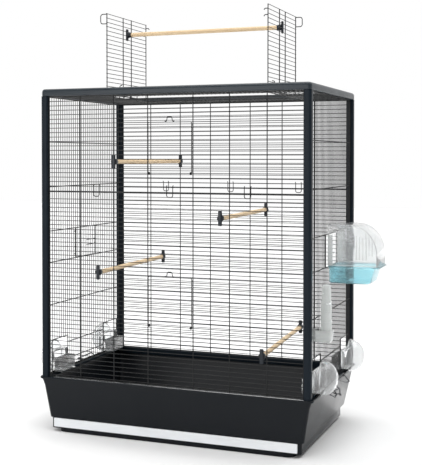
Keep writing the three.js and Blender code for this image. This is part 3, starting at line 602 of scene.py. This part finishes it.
def roof_flap(side):
    """Stands upright on the hatch's edge, with a loop handle on one edge and two hooks on the other."""
    outward = OUTWARD[side]
    node = f"roof_flap_{side}"
    top = node_box(node)[1].z
    x, foot, head = outward * HATCH_X, 958, top - THICK
    thin, overhang = x + outward * LAYER, HATCH_Y + 1
    bm = bmesh.new()
    for y in (-HATCH_Y, -MIDDLE_WIRE, MIDDLE_WIRE, HATCH_Y):
        wire(bm, (x, y, foot), (x, y, head + 1), THICK)
    wire(bm, (x, -overhang, foot), (x, overhang, foot), THICK)
    for z in rows_between(foot, head) + [head]:
        wire(bm, (thin, -overhang, z), (thin, overhang, z), THIN)
    y = outward * (HATCH_Y - 1.3)
    grip, grip_top, grip_foot = x + outward * 20.7, head - 1.5, head - 29
    bent_wire(bm, ((x, y, grip_top), (grip, y, grip_top), (grip, y, grip_foot), (x, y, grip_foot)),
              HOOK_WIRE, bend=7, steps=6)
    for z in (head - 11, head - 28):
        bent_wire(bm, ((x, -y, z), (x - outward * 9, -y, z), (x - outward * 12, -y, z - 4)),
                  HOOK_WIRE, bend=2)
    for y in (-HATCH_Y + 8, -MIDDLE_WIRE + 5, MIDDLE_WIRE - 5, HATCH_Y - 8):
        coil(bm, (x, y, foot), (0, 1, 0), FLAP_COIL, COIL_WIRE)
    make_piece(f"flap_wires_{side}", bm, WIRE_PAINT, "wire_paint", node, node)


for end in ("front", "back"):
    for level in ("lower", "upper"):
        face_panel(end, level)
    mid_rail(end)
for side in ("left", "right"):
    side_panel(side)
    roof_flap(side)
roof()
front_door("upper")
front_door("lower")
left_door()


# ---------------------------------------------------------------- perches
def perch(name, clips, material, body):
    """A turned rod with eased ends, held by a clip at each end."""
    low, high = node_box(name)
    ends = []
    for clip in clips:
        clip_low, clip_high = node_box(f"{name}_clip_{clip}")
        ends.append((clip_low + clip_high) / 2)
    along = (ends[1] - ends[0]).normalized()
    long_axis = 0 if high.x - low.x > high.y - low.y else 1
    length = (high[long_axis] - low[long_axis]) / abs(along[long_axis]) - 1
    half, radius, waviness, turns = length / 2, 6.3, 0.06, 12
    profile = [(0, -half), (radius - 1, -half), (radius, -half + 1)]
    profile += [(radius + waviness * math.sin(i * 1.7), -half + length * i / turns) for i in range(1, turns)]
    profile += [(radius, half - 1), (radius - 1, half), (0, half)]
    place = Matrix.Translation((low + high) / 2) @ along.to_track_quat("Z", "Y").to_matrix().to_4x4()
    bm = bmesh.new()
    turned_shape(bm, profile, steps=20, matrix=place)
    make_piece(f"{name}_rod", bm, material, "beech", body, name)
    for clip, inward in zip(clips, (along, -along)):
        perch_clip(f"{name}_clip_{clip}", inward, body)


def perch_clip(node, inward, body):
    """An upright plate against the wires with a round socket for the rod."""
    low, high = node_box(node)
    across, up = Vector((0, 0, 1)).cross(inward), Vector((0, 0, 1))
    depth = abs((high - low).dot(Vector((abs(inward.x), abs(inward.y), 0))))
    wall = (low + high) / 2 - inward * (depth / 2)
    place = Matrix.Translation(wall) @ Matrix((inward, across, up)).transposed().to_4x4()
    half_height = (high.z - low.z) / 2
    socket = [(0, -1), (9, -1), (9.6, 0.6), (9, 4), (7.9, 7), (7.7, 12), (7.3, 13), (6.7, 13), (6.7, 4.6),
              (0, 4.6)]
    bm = bmesh.new()
    rounded_block(bm, (-5, -5.5, -half_height), (0.8, 5.5, half_height), 2.6, segments=3)
    bmesh.ops.transform(bm, matrix=place, verts=bm.verts)
    turned_shape(bm, socket, steps=24, matrix=place @ Matrix.Rotation(math.radians(90), 4, "Y"))
    make_piece(f"{node}_moulding", bm, CLIP_PLASTIC, "clip_plastic", body, node)


for name in ("perch_high", "perch_middle", "perch_left", "perch_low"):
    perch(name, ("front", "back"), BEECH_ALONG_Y, "cage")
perch("play_perch", ("left", "right"), BEECH_ALONG_X, "play_perch")


# ---------------------------------------------------------------- base
def tub():
    """A deep tray: walls in two slopes with rounded corners, a ledge for the frame and a lip round it."""
    low, high = node_box("base_tub")
    foot, shoulder, ledge, lip = low.z, 131, 149, 154.6
    top_x, top_y = 396.5, 247.5
    shoulder_x, shoulder_y = 390, 245.5
    foot_x, foot_front, foot_back = 374, -238, 215
    bm = bmesh.new()
    plain_block(bm, (-top_x, -top_y, foot), (top_x, top_y, ledge))
    round_over(bm, upright_edges(bm), 12, segments=6)
    bmesh.ops.bisect_plane(bm, geom=bm.verts[:] + bm.edges[:] + bm.faces[:], plane_co=(0, 0, shoulder),
                           plane_no=(0, 0, 1))
    for vert in bm.verts:
        if vert.co.z < foot + 1:
            vert.co.x *= foot_x / top_x
            vert.co.y = vert.co.y * (foot_back - foot_front) / 2 / top_y + (foot_front + foot_back) / 2
        elif vert.co.z < ledge - 1:
            vert.co.x *= shoulder_x / top_x
            vert.co.y *= shoulder_y / top_y
    top = max(bm.faces, key=lambda f: f.calc_center_median().z)
    bottom = min(bm.faces, key=lambda f: f.calc_center_median().z)
    bmesh.ops.inset_region(bm, faces=[bottom], thickness=20, depth=0, use_even_offset=True)
    hole = max((f for f in bm.faces if f.normal.z < -0.9), key=lambda f: len(f.verts))
    bmesh.ops.delete(bm, geom=[top, hole], context="FACES")
    rim = [e for e in bm.edges if e.is_boundary and e.verts[0].co.z > ledge - 1]
    for stretch_x, stretch_y, rise in ((high.x / top_x, high.y / top_y, 0), (1, 1, lip - ledge)):
        verts, rim = pull_rim(bm, rim)
        for vert in verts:
            vert.co.x *= stretch_x
            vert.co.y *= stretch_y
            vert.co.z += rise
    bmesh.ops.recalc_face_normals(bm, faces=bm.faces)
    piece = make_piece("tub_shell", bm, BASE_PLASTIC, "base_plastic", "cage", "base_tub")
    give_wall(piece, 3)
    ease = piece.modifiers.new("ease", "BEVEL")
    ease.width, ease.segments = 1.1 * MM, 3
    ease.limit_method, ease.angle_limit = "ANGLE", math.radians(50)


def floor_slats():
    low, high = node_box("floor_grille")
    spaces, half_slat, margin = 12, 9.5, 12
    bm = bmesh.new()
    for i in range(spaces + 1):
        y = low.y + margin + (high.y - low.y - 2 * margin) * i / spaces
        rounded_block(bm, (low.x, y - half_slat, low.z), (high.x, y + half_slat, high.z - 0.4), 1)
    for x in (-350, -176, 0, 176, 350):
        rounded_block(bm, (x - 5, low.y + 3, low.z + 0.2), (x + 5, high.y - 3, high.z - 1), 0.8)
    # The slats take the darker copy of the plastic: painted shade inside the tub.
    make_piece("floor_slats", bm, TRAY_SHADED_PLASTIC, "wire_paint", "cage", "floor_grille")


def drawer_face():
    """The pale front of the drawer, with a shallow sunk panel."""
    low, high = node_box("drawer_front")
    bm = bmesh.new()
    rounded_block(bm, low, high, 1.2, segments=3)
    front = min(bm.faces, key=lambda f: f.calc_center_median().y)
    bmesh.ops.inset_region(bm, faces=[front], thickness=2.2, depth=0, use_even_offset=True)
    bmesh.ops.inset_region(bm, faces=[front], thickness=0.8, depth=-0.6, use_even_offset=True)
    make_piece("drawer_face", bm, SILVER, "silver_trim", "drawer", "drawer_front")


tub()
floor_slats()
drawer_face()
softened("pan", "base_pan", BASE_PLASTIC, "base_plastic", "cage", 1.2)
# The litter tray takes the darker copy of the base plastic: painted shade inside the tub.
softened("litter_tray", "drawer_tray", TRAY_SHADED_PLASTIC, "base_plastic", "drawer", 0.6)


def tray_clip(side):
    """A sprung wire clip: it pivots at its foot, hooks over the lip and ends in a curled finger grip."""
    node = f"tray_clip_{side}"
    inner, face, pivot_z = OUTWARD[side] * 385, OUTWARD[side] * 404.2, 106.5
    grip = ((-75, 133), (-28, 116), (-5, 119), (-33, 135), (29, 127), (-24, 148))
    hook = ((-19, 161), (68, 162.5), (145, 123), (109, 126), (30, 150), (-19, 161))
    bm = bmesh.new()
    bent_wire(bm, ((inner, 49, pivot_z), (face, 49, pivot_z), (face, 31, pivot_z), (face, *grip[4])),
              HOOK_WIRE, bend=3)
    for corners in (grip, hook):
        for start, end in zip(corners, corners[1:]):
            wire(bm, (face, *start), (face, *end), 1.9)
        for corner in corners:
            place = Matrix.Translation((face, *corner))
            bmesh.ops.create_icosphere(bm, subdivisions=2, radius=2.0, matrix=place)
    make_piece(f"clip_wire_{side}", bm, CLIP_PLASTIC, "clip_plastic", node, node)


tray_clip("left")
tray_clip("right")


# ---------------------------------------------------------------- feeders, bath and drinker
def feeder(end, side):
    """A clear bubble with a flanged rim, a neck through the wires and a trough on the inner side."""
    node = f"feeder_{end}_{side}"
    bubble = (41, 38, 46)       # how far it bulges out of the wall, sideways and up
    mouth = (404, 0, 197)       # the middle of its rim
    neck = ((382, -39, 163), (404, 39, 217))
    trough = ((357.5, -38, 160), (381.5, 38, 198))
    bm = bmesh.new()
    bmesh.ops.create_uvsphere(bm, u_segments=28, v_segments=18, radius=1)
    bmesh.ops.scale(bm, vec=bubble, verts=bm.verts)
    bmesh.ops.bisect_plane(bm, geom=bm.verts[:] + bm.edges[:] + bm.faces[:], plane_co=(0, 0, 0),
                           plane_no=(1, 0, 0), clear_inner=True)
    flange, _ = pull_rim(bm, [e for e in bm.edges if e.is_boundary])
    bmesh.ops.scale(bm, vec=(1, 1.04, 1.03), verts=flange)
    bmesh.ops.recalc_face_normals(bm, faces=bm.faces)
    bmesh.ops.translate(bm, vec=mouth, verts=bm.verts)
    open_block(bm, *neck, lambda face: abs(face.normal.x) > 0.9)
    open_block(bm, *trough, lambda face: face.normal.z > 0.9)
    bmesh.ops.scale(bm, vec=(OUTWARD[side], 1, 1), verts=bm.verts)
    bmesh.ops.translate(bm, vec=(0, OUTWARD[end] * FEEDER_Y, 0), verts=bm.verts)
    bmesh.ops.recalc_face_normals(bm, faces=bm.faces)
    give_wall(make_piece(f"{node}_moulding", bm, CLEAR_PLASTIC, "clear_plastic", node, node), 1.8)


for end in ("front", "back"):
    for side in ("left", "right"):
        feeder(end, side)


def rounded_tray(bm, low, high, corner, foot_x, foot_y):
    """An open tray with rounded corners; its foot is narrower by the two factors and flush at low x."""
    low, high = Vector(low), Vector(high)
    plain_block(bm, low, high)
    round_over(bm, upright_edges(bm), corner, segments=6)
    foot = [v for v in bm.verts if v.co.z < low.z + 0.1]
    bmesh.ops.scale(bm, vec=(foot_x, foot_y, 1), verts=foot,
                    space=Matrix.Translation((-low.x, -(low.y + high.y) / 2, 0)))
    bottom = min(bm.faces, key=lambda f: f.calc_center_median().z)
    round_over(bm, list(bottom.edges), 5, segments=3)
    top = max(bm.faces, key=lambda f: f.calc_center_median().z)
    bmesh.ops.delete(bm, geom=[top], context="FACES")


def bath_bowl():
    """A blue bowl with a rolled rim that runs out to a spout on the side away from the cage."""
    foot = node_box("bath_tub")[0].z
    inner, outer, half, rim_z, spout_start = 390, 518, 60, 479, 455
    bm = bmesh.new()
    rounded_tray(bm, (inner, -half, foot), (outer, half, rim_z), 20, 0.9, 0.93)
    rim = [e for e in bm.edges if e.is_boundary]
    for out, aside, rise in ((1, 1, 0), (10.5, 2.2, 0.5), (0.6, 0.6, -2.5)):
        verts, rim = pull_rim(bm, rim)
        for vert in verts:
            if vert.co.x > spout_start:
                vert.co.x += out
            vert.co.y += math.copysign(aside, vert.co.y)
            vert.co.z += rise
    give_wall(make_piece("bath_bowl", bm, BLUE_PLASTIC, "blue_plastic", "bath", "bath_tub"), 2)


def bath_hood():
    """A clear hood with a quarter-round crown, open below and towards the cage, and its moulded ribs."""
    low, high = node_box("bath_hood")
    foot = low.z + 0.5
    crown_x, crown_z, crown_reach = low.x + 62, 512, 74
    outline = [(low.x, foot), (low.x, high.z - 4), (low.x + 4, high.z)]
    for step in range(11):
        turn = math.radians(90) * step / 10
        outline.append((crown_x + crown_reach * math.sin(turn),
                        crown_z + (high.z - crown_z) * math.cos(turn)))
    outline.append((high.x, foot))
    bm = bmesh.new()
    face = bm.faces.new([bm.verts.new((x, low.y, z)) for x, z in outline])
    pull_face(bm, face, Vector((0, high.y - low.y, 0)))
    bmesh.ops.recalc_face_normals(bm, faces=bm.faces)
    walls = [f for f in bm.faces if abs(f.normal.y) > 0.9]
    round_over(bm, list({e for f in walls for e in f.edges}), 5, segments=3)
    openings = [f for f in bm.faces if f.normal.z < -0.9 or f.normal.x < -0.9]
    bmesh.ops.delete(bm, geom=openings, context="FACES")
    give_wall(make_piece("bath_canopy", bm, CLEAR_PLASTIC, "clear_plastic", "bath", "bath_hood"), 1.8)

    rib_foot, rib_head, first_rib = 500, 566, 470
    bm = bmesh.new()
    for y in (low.y - 0.4, high.y + 0.4):
        for x in (first_rib, 479, 488, 497):
            head = rib_head - (x - first_rib) * 0.35
            rounded_block(bm, (x - 1, y - 0.9, rib_foot), (x + 1, y + 0.9, head), 0.5)
    for y in (low.y + 1, high.y - 4):
        rounded_block(bm, (low.x + 0.5, y, low.z + 1), (low.x + 14, y + 3, rib_head), 1)
    make_piece("bath_canopy_ribs", bm, MILKY_PLASTIC, "clear_plastic", "bath")


def drinker():
    """A bottle that stands on its open mouth in a small trough."""
    x, y = 411, -150
    outside = [(0, 443), (7, 442.4), (10, 440.5), (11.8, 436), (12.4, 430), (12.4, 402), (14.2, 398),
               (14.6, 392), (14.6, 346), (15, 343), (15, 318), (13.4, 316.4)]
    inside = [(13.2, 318), (13, 394), (11, 402), (10.8, 430), (8, 439), (0, 441)]
    bm = bmesh.new()
    turned_shape(bm, outside + inside, steps=24, matrix=Matrix.Translation((x, y, 0)))
    for z in (372, 344, 326):
        coil(bm, (x, y, z), (0, 0, 1), 14.7, 0.7, steps=24)
    make_piece("drinker_bottle", bm, MILKY_PLASTIC, "milky_plastic", "drinker_tube", "drinker_tube")
    bm = bmesh.new()
    rounded_tray(bm, *node_box("drinker_trough"), 7, 0.98, 0.94)
    give_wall(make_piece("drinker_cup", bm, MILKY_PLASTIC, "milky_plastic", "cage", "drinker_trough"), 1.5)


bath_bowl()
bath_hood()
drinker()


# ---------------------------------------------------------------- frame tubes
def outermost_of(uprights):
    return max(uprights, key=lambda e: e.verts[0].co.x ** 2 + e.verts[0].co.y ** 2)


def tube_post(end, side):
    """A square tube with rounded corners, the outermost rounder than the rest, open at both ends."""
    node = f"post_{end}_{side}"
    low, high = node_box(node)
    low.z = FRAME_FOOT
    bm = bmesh.new()
    plain_block(bm, low, high)
    uprights = upright_edges(bm)
    uprights.remove(outermost_of(uprights))
    round_over(bm, uprights, 4, segments=4)
    round_over(bm, [outermost_of(upright_edges(bm))], 6.5, segments=8)
    hollow_out(bm, [f for f in bm.faces if abs(f.normal.z) > 0.99], 1.5, 1.5)
    make_piece(f"tube_{end}_{side}", bm, FRAME_PAINT, "frame_paint", "cage", node)


def roof_frame():
    """The ring of tube round the top, with rounded corners and a rounded outer edge."""
    low, high = node_box("top_rail_front")
    bm = bmesh.new()
    plain_block(bm, (-high.x, low.y, low.z), (high.x, -low.y, high.z))
    round_over(bm, upright_edges(bm), 10, segments=8)
    for height, ease in ((high.z, 9), (low.z, 2.5)):
        edges = [e for e in bm.edges if all(abs(v.co.z - height) < 0.01 for v in e.verts)]
        round_over(bm, edges, ease, segments=5)
    caps = [f for f in bm.faces if abs(f.normal.z) > 0.99 and len(f.verts) > 8]
    hollow_out(bm, caps, 11, 17.5)
    # The ring takes the lighter copy of the frame paint, a painted highlight.
    make_piece("roof_tube", bm, RING_PAINTED_HIGHLIGHT, "frame_paint", "cage", "top_rail_front", "top_rail_back",
               "top_rail_left", "top_rail_right", crease=50)


def side_sill(side):
    node = f"bottom_rail_{side}"
    low, high = node_box(node)
    bm = bmesh.new()
    rounded_block(bm, (low.x, low.y, FRAME_FOOT), high, 1)
    make_piece(f"sill_{side}", bm, FRAME_PAINT, "frame_paint", "cage", node)


# The front sill takes the lighter, glossier copy of the frame paint as a painted highlight; the back sill
# takes the plain paint.
for end, paint in (("front", SILL_PAINTED_HIGHLIGHT), ("back", FRAME_PAINT)):
    for side in ("left", "right"):
        tube_post(end, side)
    softened(f"sill_{end}", f"bottom_rail_{end}", paint, "frame_paint", "cage", 0.5)
for side in ("left", "right"):
    side_sill(side)
roof_frame()
